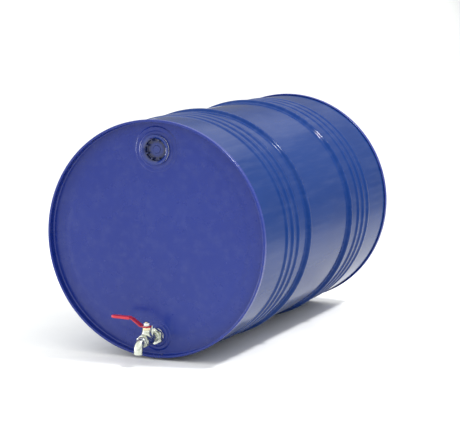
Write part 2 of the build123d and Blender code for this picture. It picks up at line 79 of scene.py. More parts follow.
HOOP_OFFSET = 147.0 * MM
HOOP_HALF_WIDTH = 17.0 * MM
BEAD_OFFSETS = (216.0 * MM, 253.0 * MM, 290.0 * MM)
BEAD_HALF_WIDTH = 15.0 * MM
BEAD_HEIGHT = 3.6 * MM
PANEL_R = 250.0 * MM
PANEL_RISE = 1.2 * MM
PANEL_SOFTNESS = 14.0                  # width of the panel's flank, as a multiple of its rise
RING_SOFTNESS = 2.1
PAD_RISE = 2.2 * MM
RING_RISE = 4.5 * MM
BUNGS = (                              # height, pad radius, ring radius, hole radius
    (BUNG_Z, 57.0 * MM, 48.0 * MM, 34.2 * MM),
    (TAP_Z, 37.5 * MM, 30.0 * MM, 16.7 * MM),
)

# plug
PLUG_HEAD = 4.0 * MM                   # thickness of its rim
PLUG_HEAD_R = (plug_high.x - plug_low.x) / 2
PLUG_FLOOR = 2.2 * MM
PLUG_MOUTH_R = 32.0 * MM
PLUG_THROAT_R = 26.6 * MM
PLUG_RIBS = 8
PLUG_RIB_R = 21.5 * MM
PLUG_RIB_WIDTH = 4.0 * MM
PLUG_BUTTON_R = 9.0 * MM
PLUG_BUTTON = 1.5 * MM
LARGE_THREAD_R = 29.35 * MM
LARGE_PITCH = 2.309 * MM

# tap
TAP_SEAT = seal_low.y
COLLAR = 10.0 * MM
COLLAR_FLATS = tap_high.x - tap_low.x
SMALL_THREAD_R = 13.17 * MM
SMALL_PITCH = 1.814 * MM
THREAD_DEPTH = 0.6                     # as a share of the pitch, like the next
THREAD_SUNK = 0.15                     # how far the ridge's foot runs into the shank
BORE_R = 7.0 * MM
NECK_R = 11.5 * MM
CHAMBER_R = 15.0 * MM
CHAMBER_BORE_R = 12.0 * MM
CHAMBER_REAR = 17.0 * MM
SEAT_REACH = 11.5 * MM
BOSS_R = 10.0 * MM
BOSS_TOP = 25.0 * MM                   # this and the next heights are above the tap's axis
COUNTERBORE_TOP = 14.4 * MM
COUNTERBORE_R = 6.9 * MM
PACKING_BOTTOM = 18.0 * MM
PACKING_R = 7.5 * MM
STEM_R = 5.0 * MM
STEM_THREAD_R = 3.95 * MM
FIT = 0.05 * MM
LUG_R = 13.6 * MM
LUG_WIDTH = 3.6 * MM
LUG_DEPTH = 2.4 * MM
SPOUT_R = 10.5 * MM
SPOUT_BEND = 19.0 * MM
SPOUT_NUT = 5.0 * MM
SPOUT_SEAL = 1.0 * MM
SPOUT_NUT_FLATS = spout_high.x - spout_low.x
SPOUT_Y = spout_low.y + SPOUT_R
MOUTH_Y = STEM_Y - 20.0 * MM           # front face of the ball chamber

# lever
LEVER_SHEET = 3.0 * MM
LEVER_END = 13.0 * MM                  # width at the tip
LEVER_HUB_R = lever_high.x
LEVER_LENGTH = -lever_low.x
LEVER_WIDTH = 18.0 * MM
LEVER_RISE = 17.5 * MM
LEVER_TIP_RISE = 1.0 * MM
LEVER_BEND = 9.0 * MM
LEVER_CRANK = (13.0 * MM, 39.0 * MM)   # start and end of the slope, from the stem
LEVER_TURN = 90.0                      # degrees
LUG_ROOM = 1.6                         # degrees between the lug and the lever at each limit
NOTCH_R = 11.8 * MM
STEM_SQUARE = 8.2 * MM                 # hole in the lever
GRIP_WALL = 1.8 * MM
GRIP_START = -grip_high.x

# lines that pieces are spun about: each holds one point of its line
DRUM_AXIS = (0, 0, AXIS_Z)
BUNG_AXIS = (0, 0, BUNG_Z)
TAP_AXIS = (0, 0, TAP_Z)
STEM_AXIS = (0, STEM_Y, 0)
CHAMBER = (0, STEM_Y, TAP_Z)           # middle of the ball
AXES = {"Y": Vector((0, 1, 0)), "Z": Vector((0, 0, 1))}
MERGE = 0.002 * MM                     # points closer than this become one
PAST = 9.0 * MM                        # how far a cutter runs past the face that it opens


# ---- modelling helpers -----------------------------------------------------------------------
def clear_selection():
    """Leaves edit mode with nothing selected, so that the next operator acts on its own piece only."""
    if bpy.context.object and bpy.context.object.mode != "OBJECT":
        bpy.ops.object.mode_set(mode="OBJECT")
    bpy.ops.object.select_all(action="DESELECT")


def choose(piece):
    """Selects one piece and makes it the active one."""
    clear_selection()
    piece.select_set(True)
    bpy.context.view_layer.objects.active = piece


def named(name):
    """Names the piece that was just added."""
    piece = bpy.context.object
    piece.name = name
    piece.data.name = name
    return piece


def settle(piece):
    """Applies a piece's place, turn and scale into its mesh."""
    choose(piece)
    bpy.ops.object.transform_apply(location=True, rotation=True, scale=True)
    return piece


def clean(piece):
    """Merges doubles and turns every face outwards."""
    choose(piece)
    bpy.ops.object.mode_set(mode="EDIT")
    bpy.ops.mesh.select_all(action="SELECT")
    bpy.ops.mesh.remove_doubles(threshold=MERGE)
    bpy.ops.mesh.normals_make_consistent(inside=False)
    bpy.ops.object.mode_set(mode="OBJECT")
    return piece


def apply_modifier(piece, modifier):
    """Applies one modifier to its piece."""
    choose(piece)
    bpy.ops.object.modifier_apply(modifier=modifier.name)


def drawn(name, spots):
    """Draws a line by extruding one vertex from spot to spot, and stays in edit mode."""
    clear_selection()
    bpy.ops.mesh.primitive_plane_add(size=MM, location=(0, 0, 0))
    piece = named(name)
    bpy.ops.object.mode_set(mode="EDIT")
    bpy.ops.mesh.merge(type="CENTER")
    bpy.ops.transform.translate(value=spots[0])
    for here, there in zip(spots, spots[1:]):
        bpy.ops.mesh.extrude_vertices_move(TRANSFORM_OT_translate={"value": there - here})
    bpy.ops.mesh.select_all(action="SELECT")
    return piece


def spun(name, outline, axis="Y", place=(0, 0, 0), sides=96, loop=False):
    """Spins (radius, along) points about the axis; loop closes an outline clear of the axis."""
    points = list(outline) + ([outline[0]] if loop else [])
    piece = drawn(name, [Vector((radius, 0, 0)) + AXES[axis] * along for radius, along in points])
    bpy.ops.mesh.spin(steps=sides, angle=2 * pi, center=(0, 0, 0), axis=AXES[axis])
    bpy.ops.object.mode_set(mode="OBJECT")
    clean(piece)
    piece.location = place
    return settle(piece)


def slab(name, spots, thickness):
    """Closed outline of spots, filled and pushed out by the thickness vector."""
    piece = drawn(name, list(spots) + [spots[0]])
    bpy.ops.mesh.remove_doubles(threshold=MERGE)
    bpy.ops.mesh.edge_face_add()
    bpy.ops.mesh.extrude_region_move(TRANSFORM_OT_translate={"value": thickness})
    bpy.ops.object.mode_set(mode="OBJECT")
    return clean(piece)


def helix(name, crest_r, pitch, near, far, place):
    """Right-hand thread ridge with closed ends, about the line along Y at place, from near to far."""
    root_r = crest_r - (THREAD_DEPTH + THREAD_SUNK) * pitch
    foot = 0.44 * pitch
    tip = 0.06 * pitch
    section = [(root_r, -foot), (crest_r, -tip), (crest_r, tip), (root_r, foot), (root_r, -foot)]
    piece = drawn(name, [Vector((radius, near + foot + along, 0)) for radius, along in section])
    bpy.ops.mesh.remove_doubles(threshold=MERGE)
    bpy.ops.object.mode_set(mode="OBJECT")
    modifier = piece.modifiers.new("Thread", "SCREW")
    modifier.axis = "Y"
    modifier.angle = 2 * pi
    modifier.screw_offset = pitch
    modifier.iterations = int((far - near - 2 * foot) / pitch)
    modifier.steps = 64
    modifier.render_steps = 64
    apply_modifier(piece, modifier)
    bpy.ops.object.mode_set(mode="EDIT")
    bpy.ops.mesh.select_all(action="SELECT")
    bpy.ops.mesh.fill_holes(sides=6)
    bpy.ops.object.mode_set(mode="OBJECT")
    clean(piece)
    piece.location = place
    return settle(piece)


def plain_bar(name, radius, near, far, axis="Y", place=TAP_AXIS, sides=96):
    """Plain round bar about the axis, from near to far."""
    return spun(name, [(0, near), (radius, near), (radius, far), (0, far)], axis, place, sides)


def corner_radius(flats):
    """Radius of a hexagon's corners, from the distance across its flats."""
    return flats / 2 / cos(radians(30))


def hexagon(name, flats, near, far, crown, lying=True):
    """Hexagon lying about the tap's axis with both ends crowned, or upright on the stem with one."""
    corner = corner_radius(flats)
    middle = (near + far) / 2
    clear_selection()
    bpy.ops.mesh.primitive_cylinder_add(
        vertices=6, radius=corner, depth=far - near,
        location=(0, middle, TAP_Z) if lying else (0, STEM_Y, middle),
        rotation=(pi / 2, 0, 0) if lying else (0, 0, pi / 2))
    bar = settle(named(name))
    if lying:
        outline = [(0, near), (corner - 2 * crown, near), (corner, near + crown),
                   (corner, far - crown), (corner - 2 * crown, far), (0, far)]
        turning = spun("crown", outline, place=TAP_AXIS)
    else:
        outline = [(0, near), (corner, near), (corner, far - crown),
                   (corner - 1.6 * crown, far), (0, far)]
        turning = spun("crown", outline, axis="Z", place=STEM_AXIS)
    return combine(bar, [turning], "INTERSECT")


def combine(piece, tools, operation):
    """Unites, cuts or intersects a piece with each tool, and removes the tools."""
    for tool in tools:
        modifier = piece.modifiers.new(operation, "BOOLEAN")
        modifier.operation = operation
        modifier.solver = "MANIFOLD"
        modifier.object = tool
        apply_modifier(piece, modifier)
        bpy.data.objects.remove(tool)
    return piece


def copy_of(piece, name, move=(0, 0, 0)):
    """A copy with its own mesh, moved."""
    twin = piece.copy()
    twin.data = piece.data.copy()
    twin.name = name
    bpy.context.scene.collection.objects.link(twin)
    twin.data.transform(Matrix.Translation(Vector(move)))
    return twin


def soften(piece, width, segments=2, angle=35):
    """Bevels the sharp edges."""
    modifier = piece.modifiers.new("Bevel", "BEVEL")
    modifier.width = width
    modifier.segments = segments
    modifier.limit_method = "ANGLE"
    modifier.angle_limit = radians(angle)
    apply_modifier(piece, modifier)
    return piece


def shade(piece, angle=32):
    """Smooth shading up to this angle, with flat faces kept flat by weighted normals."""
    choose(piece)
    bpy.ops.object.shade_smooth_by_angle(angle=radians(angle))
    modifier = piece.modifiers.new("Weighted", "WEIGHTED_NORMAL")
    modifier.keep_sharp = True
    modifier.weight = 80
    apply_modifier(piece, modifier)
    return piece


def filleted(corners, radii, steps=8):
    """(point, side direction) pairs along a line whose corners are rounded."""
    spots = [Vector(c) for c in corners]
    samples = []

    def add(point, heading):
        samples.append((point, Vector((-heading.y, heading.x))))

    first = (spots[1] - spots[0]).normalized()
    add(spots[0], first)
    for before, corner, after, radius in zip(spots, spots[1:], spots[2:], radii):
        into = (corner - before).normalized()
        out = (after - corner).normalized()
        turn = into.angle_signed(out)
        reach = radius * tan(abs(turn) / 2)
        start = corner - into * reach
        side = Vector((-into.y, into.x)) * (-1 if turn > 0 else 1)
        centre = start + side * radius
        for step in range(steps + 1):
            swing = Matrix.Rotation(-turn * step / steps, 2)
            add(centre - swing @ (side * radius), swing @ into)
    last = (spots[-1] - spots[-2]).normalized()
    add(spots[-1], last)
    return samples


def sheet_outline(samples, thickness=SHEET):
    """Both sides of a sheet that follows these samples."""
    one = [tuple(point + side * thickness / 2) for point, side in samples]
    other = [tuple(point - side * thickness / 2) for point, side in samples]
    return one + other[::-1]


# ---- camera, light and floor -----------------------------------------------------------------
VIEW_AZIMUTH = 26.1
VIEW_ELEVATION = 8.9
VIEW_DISTANCE = 4.5                    # from the middle of the front chime
LENS = 146.0
VIEW_TARGET = (0.03, -0.05, AXIS_Z - 0.002)

SKY_COLOUR = (0.98, 1.0, 0.99, 1)
DARK_SIDE = (-0.2, 0.95, -0.25)        # where the sky darkens: low, behind the drum
SKY_SPAN = (0.5, 0.95)                 # cosines between which it darkens
SKY_LEVELS = (1.0, 0.28)
SUN_POWER = 1.7
SUN_WIDTH = 150.0                      # degrees
SUN_HEADING = (0.15, 0.12, -0.98)
FLOOR_SIZE = 240.0
FLOOR_DROP = 0.5 * MM                  # keeps the floor just below the hoops
FLOOR_TONES = ((0.78, 0.78, 0.775), (0.81, 0.81, 0.805))
# grey painted on the floor's right side: painted shade
FLOOR_PAINTED_SHADE = (0.38, 0.39, 0.39)
GREY_SLANT = 0.32                      # turns the edge of the grey side a little off the Y axis
GREY_SPAN = (0.45, 1.9)                # metres to the right of the drum's middle


def view_direction(azimuth, elevation):
    """Unit vector from the drum to a camera at these angles, in degrees."""
    a, e = radians(azimuth), radians(elevation)
    return Vector((sin(a) * cos(e), -cos(a) * cos(e), sin(e)))


def add_camera():
    """Camera in front of the drum, a little to its right and above its axis."""
    data = bpy.data.cameras.new("camera")
    camera = bpy.data.objects.new("camera", data)
    bpy.context.scene.collection.objects.link(camera)
    place = Vector((0, FRONT_Y, AXIS_Z)) + view_direction(VIEW_AZIMUTH, VIEW_ELEVATION) * VIEW_DISTANCE
    target = Vector(VIEW_TARGET)
    camera.location = place
    camera.rotation_mode = "QUATERNION"
    camera.rotation_quaternion = (target - place).to_track_quat("-Z", "Y")
    data.lens = LENS
    data.sensor_width = 36
    data.clip_end = 60
    bpy.context.scene.camera = camera


def add_softbox(name, place, aim, width, power):
    """Square light at place, turned to its aim."""
    data = bpy.data.lights.new(name, "AREA")
    data.size = width
    data.energy = power
    light = bpy.data.objects.new(name, data)
    bpy.context.scene.collection.objects.link(light)
    light.location = place
    light.rotation_mode = "QUATERNION"
    light.rotation_quaternion = (Vector(aim) - Vector(place)).to_track_quat("-Z", "Y")


def add_sky():
    """White surroundings that darken low behind the drum."""
    world = bpy.data.worlds.new("studio")
    bpy.context.scene.world = world
    world.use_nodes = True
    tree = world.node_tree
    toward = tree.nodes.new("ShaderNodeTexCoord")
    share = tree.nodes.new("ShaderNodeVectorMath")
    share.operation = "DOT_PRODUCT"
    share.inputs[1].default_value = DARK_SIDE
    level = tree.nodes.new("ShaderNodeMapRange")
    level.interpolation_type = "SMOOTHSTEP"
    level.inputs["From Min"].default_value, level.inputs["From Max"].default_value = SKY_SPAN
    level.inputs["To Min"].default_value, level.inputs["To Max"].default_value = SKY_LEVELS
    background = tree.nodes["Background"]
    background.inputs["Color"].default_value = SKY_COLOUR
    tree.links.new(toward.outputs["Generated"], share.inputs[0])
    tree.links.new(share.outputs["Value"], level.inputs["Value"])
    tree.links.new(level.outputs["Result"], background.inputs["Strength"])


def add_sun():
    """Broad soft light from above."""
    data = bpy.data.lights.new("sun", "SUN")
    data.energy = SUN_POWER
    data.angle = radians(SUN_WIDTH)
    lamp = bpy.data.objects.new("sun", data)
    bpy.context.scene.collection.objects.link(lamp)
    lamp.rotation_mode = "QUATERNION"
    lamp.rotation_quaternion = Vector(SUN_HEADING).to_track_quat("-Z", "Y")


def add_studio():
    """Sky, sun, a glint for the hoops, a light for the bung's ring, and a pale floor with painted shade on
    its right side.
    """
    add_sky()
    add_sun()
    add_softbox("glint", place=(1.8, 0.05, 2.96), aim=(0.2, -0.147, 0.5), width=0.3, power=110)
    add_softbox("left_light", place=(-2.5, -1.35, 0.45), aim=(0, -0.44, 0.45), width=0.8, power=28)
    bpy.context.scene.view_settings.view_transform = "Standard"
    clear_selection()
    bpy.ops.mesh.primitive_plane_add(size=FLOOR_SIZE, location=(0, 0, -FLOOR_DROP))
    floor = named("floor")
    settle(floor)
    floor.data.materials.append(floor_material())


# ---- materials -------------------------------------------------------------------------------
class Finish:
    """A material on Object coordinates, with small helpers for its nodes."""

    def __init__(self, name, colour, metallic=0.0, roughness=0.4):
        self.material = bpy.data.materials.new(name)
        self.material.use_nodes = True
        self.tree = self.material.node_tree
        self.shader = self.tree.nodes["Principled BSDF"]
        self.shader.inputs["Base Color"].default_value = (*colour, 1)
        self.shader.inputs["Metallic"].default_value = metallic
        self.shader.inputs["Roughness"].default_value = roughness
        self.place = self.tree.nodes.new("ShaderNodeTexCoord").outputs["Object"]

    def node(self, kind, **settings):
        node = self.tree.nodes.new("ShaderNode" + kind)
        for key, value in settings.items():
            setattr(node, key, value)
        return node

    def link(self, source, target):
        self.tree.links.new(source, target)

    def mapped(self, scale=(1, 1, 1), move=(0, 0, 0)):
        node = self.node("Mapping")
        node.inputs["Scale"].default_value = scale
        node.inputs["Location"].default_value = move
        self.link(self.place, node.inputs["Vector"])
        return node.outputs["Vector"]

    def noise(self, scale, detail=4.0, roughness=0.5, vector=None):
        node = self.node("TexNoise")
        node.inputs["Scale"].default_value = scale
        node.inputs["Detail"].default_value = detail
        node.inputs["Roughness"].default_value = roughness
        self.link(vector or self.place, node.inputs["Vector"])
        return node.outputs["Fac"]

    def ramp(self, value, low, high, start=0.0, stop=1.0):
        """Maps value from low..high to start..stop, smoothly and clamped."""
        node = self.node("MapRange", interpolation_type="SMOOTHSTEP")
        for socket, number in zip(("From Min", "From Max", "To Min", "To Max"), (low, high, start, stop)):
            node.inputs[socket].default_value = number
        self.link(value, node.inputs["Value"])
        return node.outputs["Result"]

    def math(self, operation, one, two):
        node = self.node("Math", operation=operation)
        for socket, source in zip(node.inputs, (one, two)):
            if isinstance(source, (int, float)):
                socket.default_value = source
            else:
                self.link(source, socket)
        return node.outputs["Value"]

    def radius(self, height):
        """Distance from the line along Y at this height."""
        across = self.node("SeparateXYZ")
        self.link(self.mapped(move=(0, 0, -height)), across.inputs["Vector"])
        squares = [self.math("POWER", across.outputs[axis], 2.0) for axis in ("X", "Z")]
        return self.math("SQRT", self.math("ADD", *squares), 0.0)

    def mix(self, share, one, two):
        """Colour mix; one and two are colours or sockets."""
        node = self.node("Mix", data_type="RGBA")
        self.link(share, node.inputs["Factor"])
        for name, source in (("A", one), ("B", two)):
            socket = [s for s in node.inputs if s.name == name and s.type == "RGBA"][0]
            if isinstance(source, tuple):
                socket.default_value = (*source, 1)
            else:
                self.link(source, socket)
        return [s for s in node.outputs if s.type == "RGBA"][0]

    def bumps(self, layers):
        """Chains bumps from (height socket, distance, strength) layers into the shader's normal."""
        normal = None
        for height, distance, strength in layers:
            node = self.node("Bump")
            node.inputs["Distance"].default_value = distance
            node.inputs["Strength"].default_value = strength
            self.link(height, node.inputs["Height"])
            if normal:
                self.link(normal, node.inputs["Normal"])
            normal = node.outputs["Normal"]
        self.link(normal, self.shader.inputs["Normal"])

    def colour(self, source):
        self.link(source, self.shader.inputs["Base Color"])

    def roughness(self, source):
        self.link(source, self.shader.inputs["Roughness"])


def floor_material():
    """Matt pale floor, painted softly darker grey on its right side: painted shade, as if the light fell off
    there.
    """
    finish = Finish("pale_floor", FLOOR_TONES[0], roughness=0.6)
    grain = finish.noise(4, 6)
    pale = finish.mix(finish.ramp(grain, 0.3, 0.7), *FLOOR_TONES)
    across = finish.node("SeparateXYZ")
    finish.link(finish.place, across.inputs["Vector"])
    lean = finish.math("MULTIPLY", across.outputs["Y"], GREY_SLANT)
    right = finish.math("ADD", across.outputs["X"], lean)
    # painted shade: grey mixed in to the right of the drum
    finish.colour(finish.mix(finish.ramp(right, *GREY_SPAN), pale, FLOOR_PAINTED_SHADE))
    finish.roughness(finish.ramp(grain, 0.3, 0.7, 0.55, 0.7))
    return finish.material


# The body's blues are the heads' enamel made darker and greener: painted shade on the drum's sides.
SHADED_BODY_BLUES = ((0.003, 0.021, 0.112), (0.005, 0.026, 0.127))
HEAD_BLUES = ((0.003, 0.015, 0.162), (0.004, 0.018, 0.176))
PLUG_BLUES = ((0.003, 0.018, 0.15), (0.004, 0.021, 0.17))
DUST = (0.22, 0.25, 0.33)
# dark blue painted into the plug's recess as painted shade
RECESS_SHADE_PAINT = (0.004, 0.008, 0.04)
BARE = (0.3, 0.31, 0.34)
HOOP_RUB_R = HOOP_R - 2.0 * MM         # outside these radii the paint is scuffed
CHIME_RUB_R = CHIME_R - 1.2 * MM
SCUFF_FADE = 1.6 * MM


def blue_enamel(name, tints, scuff_radius, sheen, gloss_range, ripple_depth, recess_shade=False):
    """Stoved enamel with orange peel, thin dust, scuffs outside this radius, and painted shade in the bung's
    recess when asked.
    """
    finish = Finish(name, tints[0], roughness=gloss_range[0])
    finish.shader.inputs["Specular IOR Level"].default_value = sheen
    cloud = finish.noise(2.2, 3)
    streak = finish.noise(1.0, 5, 0.6, finish.mapped((55, 6, 55)))
    specks = finish.noise(700, 3, 0.6)
    blue = finish.mix(finish.ramp(cloud, 0.35, 0.65), *tints)
    film = finish.ramp(streak, 0.4, 0.8, 0, 0.06)
    dust = finish.math("MULTIPLY", film, finish.ramp(specks, 0.3, 0.7, 0.7, 1))
    blue = finish.mix(dust, blue, DUST)
    crest = finish.ramp(finish.radius(AXIS_Z), scuff_radius, scuff_radius + SCUFF_FADE)
    rub = finish.ramp(finish.noise(1.0, 8, 0.75, finish.mapped((160, 260, 160))), 0.56, 0.7)
    scuff = finish.math("MULTIPLY", crest, rub)
    # Painted shade: the ring from 13 to 30 mm about the bung's axis, inside the plug's cup, is mixed towards
    # dark blue where the cup's walls would shade it.
    if recess_shade:
        away = finish.radius(BUNG_Z)
        inside = finish.ramp(away, 13 * MM, 22 * MM)
        ring = finish.math("MULTIPLY", inside, finish.ramp(away, 27 * MM, 30 * MM, 1, 0))
        blue = finish.mix(finish.math("MULTIPLY", ring, 0.8), blue, RECESS_SHADE_PAINT)
    finish.colour(finish.mix(finish.math("MULTIPLY", scuff, 0.55), blue, BARE))
    gloss = finish.ramp(finish.noise(9, 6, 0.65), 0.3, 0.75, *gloss_range)
    finish.roughness(finish.math("ADD", gloss, finish.math("MULTIPLY", scuff, 0.35)))
    peel = finish.noise(420, 2, 0.5)
    ripple = finish.noise(6, 2, 0.4)
    finish.bumps([(ripple, ripple_depth, 0.35), (peel, 0.05 * MM, 0.25)])
    return finish.material


def nickel_plate():
    """Nickel over a cast skin: a rough grain under the plate, and cloudy tarnish."""
    finish = Finish("nickel_plate", (0.58, 0.61, 0.54), metallic=1.0, roughness=0.26)
    cloud = finish.noise(60, 5, 0.6)
    finish.colour(finish.mix(finish.ramp(cloud, 0.35, 0.7), (0.6, 0.63, 0.56), (0.46, 0.48, 0.4)))
    finish.roughness(finish.ramp(finish.noise(180, 6, 0.7), 0.3, 0.75, 0.16, 0.36))
    finish.bumps([(finish.noise(260, 3), 0.12 * MM, 0.35), (finish.noise(1500, 3), 0.03 * MM, 0.3)])
    return finish.material


def machined(name, colour, dark, marks, roughness=(0.18, 0.4)):
    """Turned or milled metal: fine marks, stretched by the scale in marks, and a little tarnish."""
    finish = Finish(name, colour, metallic=1.0, roughness=roughness[0])
    tarnish = finish.ramp(finish.noise(90, 5, 0.65), 0.4, 0.75)
    finish.colour(finish.mix(tarnish, colour, dark))
    lines = finish.noise(1.0, 4, 0.6, finish.mapped(marks))
    finish.roughness(finish.ramp(lines, 0.3, 0.7, *roughness))
    finish.bumps([(lines, 0.02 * MM, 0.4)])
    return finish.material


def coated(name, colour, deep, peel_scale, roughness):
    """Coloured coat over metal or a dipped plastic skin, with small sags and a fine peel."""
    finish = Finish(name, colour, roughness=roughness)
    finish.colour(finish.mix(finish.ramp(finish.noise(70, 4), 0.35, 0.7), colour, deep))
    finish.roughness(finish.ramp(finish.noise(140, 5, 0.6), 0.3, 0.7, roughness - 0.07, roughness + 0.1))
    finish.bumps([(finish.noise(peel_scale, 2), 0.06 * MM, 0.3), (finish.noise(90, 2), 0.3 * MM, 0.2)])
    return finish.material


def soft_seal(name, colour, other, scale, roughness):
    """Rubber, plastic or sealing compound in two close tones, with a grain of this scale."""
    finish = Finish(name, colour, roughness=roughness)
    finish.colour(finish.mix(finish.ramp(finish.noise(scale, 6, 0.6), 0.35, 0.7), colour, other))
    finish.roughness(finish.ramp(finish.noise(scale * 2, 4), 0.3, 0.7, roughness - 0.08, roughness + 0.08))
    finish.bumps([(finish.noise(scale * 4, 3), 0.05 * MM, 0.3)])
    return finish.material


MATERIALS = {
    # the body's paint uses the darkened blues: painted shade on the sides
    "drum_paint": blue_enamel("drum_paint", SHADED_BODY_BLUES, HOOP_RUB_R, 0.08, (0.1, 0.18), 1.6 * MM),
    "head_paint": blue_enamel("head_paint", HEAD_BLUES, CHIME_RUB_R, 0.4, (0.22, 0.32), 0.5 * MM),
    # the plug's paint carries painted shade in its recess
    "plug_plate": blue_enamel("plug_plate", PLUG_BLUES, CHIME_RUB_R, 0.6, (0.12, 0.24), 0.3 * MM, True),
    "seam_compound": soft_seal("seam_compound", (0.05, 0.05, 0.05), (0.09, 0.09, 0.085), 300, 0.6),
    "zinc_plate": machined("zinc_plate", (0.55, 0.57, 0.6), (0.42, 0.42, 0.36), (300, 900, 300)),
    "black_rubber": soft_seal("black_rubber", (0.02, 0.02, 0.02), (0.045, 0.045, 0.045), 500, 0.65),
    "white_seal": soft_seal("white_seal", (0.78, 0.78, 0.74), (0.7, 0.69, 0.63), 400, 0.45),
    "nickel_plate": nickel_plate(),
    "brass": machined("brass", (0.7, 0.61, 0.4), (0.48, 0.4, 0.24), (500, 500, 1500), (0.22, 0.42)),
    "chrome_ball": machined("chrome_ball", (0.8, 0.81, 0.82), (0.7, 0.7, 0.7), (200, 200, 200), (0.04, 0.12)),
    "red_lever": coated("red_lever", (0.42, 0.015, 0.03), (0.32, 0.011, 0.022), 900, 0.28),
    "red_grip": coated("red_grip", (0.48, 0.016, 0.035), (0.4, 0.013, 0.03), 600, 0.34),
    "bright_steel": machined("bright_steel", (0.68, 0.68, 0.67), (0.5, 0.5, 0.48), (900, 900, 300)),
}


def finish_piece(piece, slot, body, *nodes):
    """Gives a new piece its material and its body, and hides the nodes that it stands for."""
    piece.data.materials.clear()
    piece.data.materials.append(MATERIALS[slot])
    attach(piece, body)
    if nodes:
        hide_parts(*nodes)


def finish_frame_nodes():
    """Every node that stays as it is gets its slot's material."""
    for entry in frame["record"]["subparts"]:
        node = frame["nodes"][entry["node"]]
        for index in range(max(1, len(node.data.materials))):
            if index >= len(node.data.materials):
                node.data.materials.append(None)
            node.data.materials[index] = MATERIALS[entry["material_slot"]]


# ---- drum body -------------------------------------------------------------------------------
def swell_height(y):
    """How far the wall's middle line stands out at this place along the drum."""
    swells = [(HOOP_OFFSET, HOOP_HALF_WIDTH, HOOP_R - WALL_R - SHEET / 2)]
    swells += [(offset, BEAD_HALF_WIDTH, BEAD_HEIGHT) for offset in BEAD_OFFSETS]
    for offset, half_width, height in swells:
        away = abs(abs(y) - offset)
        if away < half_width:
            bend = (half_width ** 2 + height ** 2) / (4 * height)
            if away < half_width / 2:
                return height - bend + (bend ** 2 - away ** 2) ** 0.5
            return bend - (bend ** 2 - (half_width - away) ** 2) ** 0.5
    return 0.0


def swell_stations():
    """Places along the drum where the wall's outline needs a point."""
    swells = [(HOOP_OFFSET, HOOP_HALF_WIDTH)] + [(offset, BEAD_HALF_WIDTH) for offset in BEAD_OFFSETS]
    steps = 8
    stations = set()
    for offset, half_width in swells:
        for step in range(-steps, steps + 1):
            place = offset + half_width * step / steps
            stations.update((round(place, 6), round(-place, 6)))
    return sorted(stations | {-HALF + 40 * MM, HALF - 40 * MM})


def drum_body():
    """Rolled sheet with its hoops and beads; both edges run up into the seams."""
    end = HALF - 2.2 * MM
    stations = [-end] + swell_stations() + [end]
    middle = [(WALL_R + swell_height(y), y) for y in stations]
    samples = []
    for index, (radius, y) in enumerate(middle):
        before = middle[max(index - 1, 0)]
        after = middle[min(index + 1, len(middle) - 1)]
        heading = Vector((after[0] - before[0], after[1] - before[1])).normalized()
        samples.append((Vector((radius, y)), Vector((heading.y, -heading.x))))
    body = spun("drum_body", sheet_outline(samples), place=DRUM_AXIS, sides=240, loop=True)
    finish_piece(shade(body), "drum_paint", "drum", "body_shell")


# ---- heads -----------------------------------------------------------------------------------
def head_outline():
    """Section of the front head: panel, countersink wall, crown, outer panel and hook."""
    inner = WALL_R - SEAM_LAYER
    outer = WALL_R + 3 * SEAM_LAYER
    hook = WALL_R + SEAM_LAYER
    crown = FRONT_Y + SHEET / 2
    under = FRONT_Y + 11.75 * MM
    face = FACE_Y + SHEET / 2
    corners = [(0, face), (inner, face), (inner, crown), (outer, crown), (outer, under),
               (hook, under), (hook, FRONT_Y + 4.2 * MM)]
    return sheet_outline(filleted(corners, [4.0 * MM, 1.8 * MM, 1.8 * MM, 1.24 * MM, 1.24 * MM]))


def embossed(name, height, radius, rise, sides, drop=0.0, softness=2.4):
    """Solid with a soft flank that stands out of the head's face; drop makes the one that hollows it."""
    face = FACE_Y + drop
    root = face + 6 * MM
    foot_r = radius + 0.6 * rise
    flank = softness * rise
    sunk = 0.02 * MM
    spread = 0.1 * MM if drop else 0   # keeps the hollow's side wall off the solid's
    steps = 12
    outline = [(0, root), (foot_r + spread, root)]
    for step in range(steps + 1):
        share = step / steps
        level = (rise + sunk) * (1 - cos(pi * share)) / 2 - sunk
        outline.append((foot_r - flank * share, face - level))
    outline.append((0, face - rise))
    return spun(name, outline, place=(0, 0, height), sides=sides)


def raised_panel(drop):
    """The wide panel in the middle of a head, which stands out a little."""
    return embossed("panel", AXIS_Z, PANEL_R, PANEL_RISE, 256, drop, PANEL_SOFTNESS)


def emboss_tools(drop):
    """The raised panel, and the pad and ring about each bung."""
    tools = [raised_panel(drop)]
    for height, pad_r, ring_r, hole_r in BUNGS:
        tools.append(embossed("pad", height, pad_r, PAD_RISE, 128, drop))
        tools.append(embossed("ring", height, ring_r, RING_RISE, 128, drop, RING_SOFTNESS))
    return tools


def front_head():
    """Drawn sheet with its panel, pads and rings, and a hole for each bung."""
    head = spun("head_sheet", head_outline(), place=DRUM_AXIS, sides=256)
    combine(head, emboss_tools(0.0), "UNION")
    combine(head, emboss_tools(SHEET), "DIFFERENCE")
    holes = [plain_bar("hole", hole_r, FACE_Y - 20 * MM, FACE_Y + 20 * MM, place=(0, 0, height), sides=128)
             for height, pad_r, ring_r, hole_r in BUNGS]
    combine(head, holes, "DIFFERENCE")
    finish_piece(shade(clean(head)), "head_paint", "drum", "front_head")


def rear_head():
    """The front head's section turned end for end, with the raised panel and no bungs."""
    head = spun("rear_sheet", head_outline(), place=DRUM_AXIS, sides=256)
    combine(head, [raised_panel(0.0)], "UNION")
    combine(head, [raised_panel(SHEET)], "DIFFERENCE")
    choose(head)
    head.rotation_euler = (0, 0, pi)
    settle(head)
    finish_piece(shade(clean(head)), "head_paint", "drum", "rear_head")


# ---- bung plug -------------------------------------------------------------------------------
def rounded(corners, radii, steps=6):
    """Points of an outline whose inner corners are rounded."""
    return [tuple(point) for point, side in filleted(corners, radii, steps)]


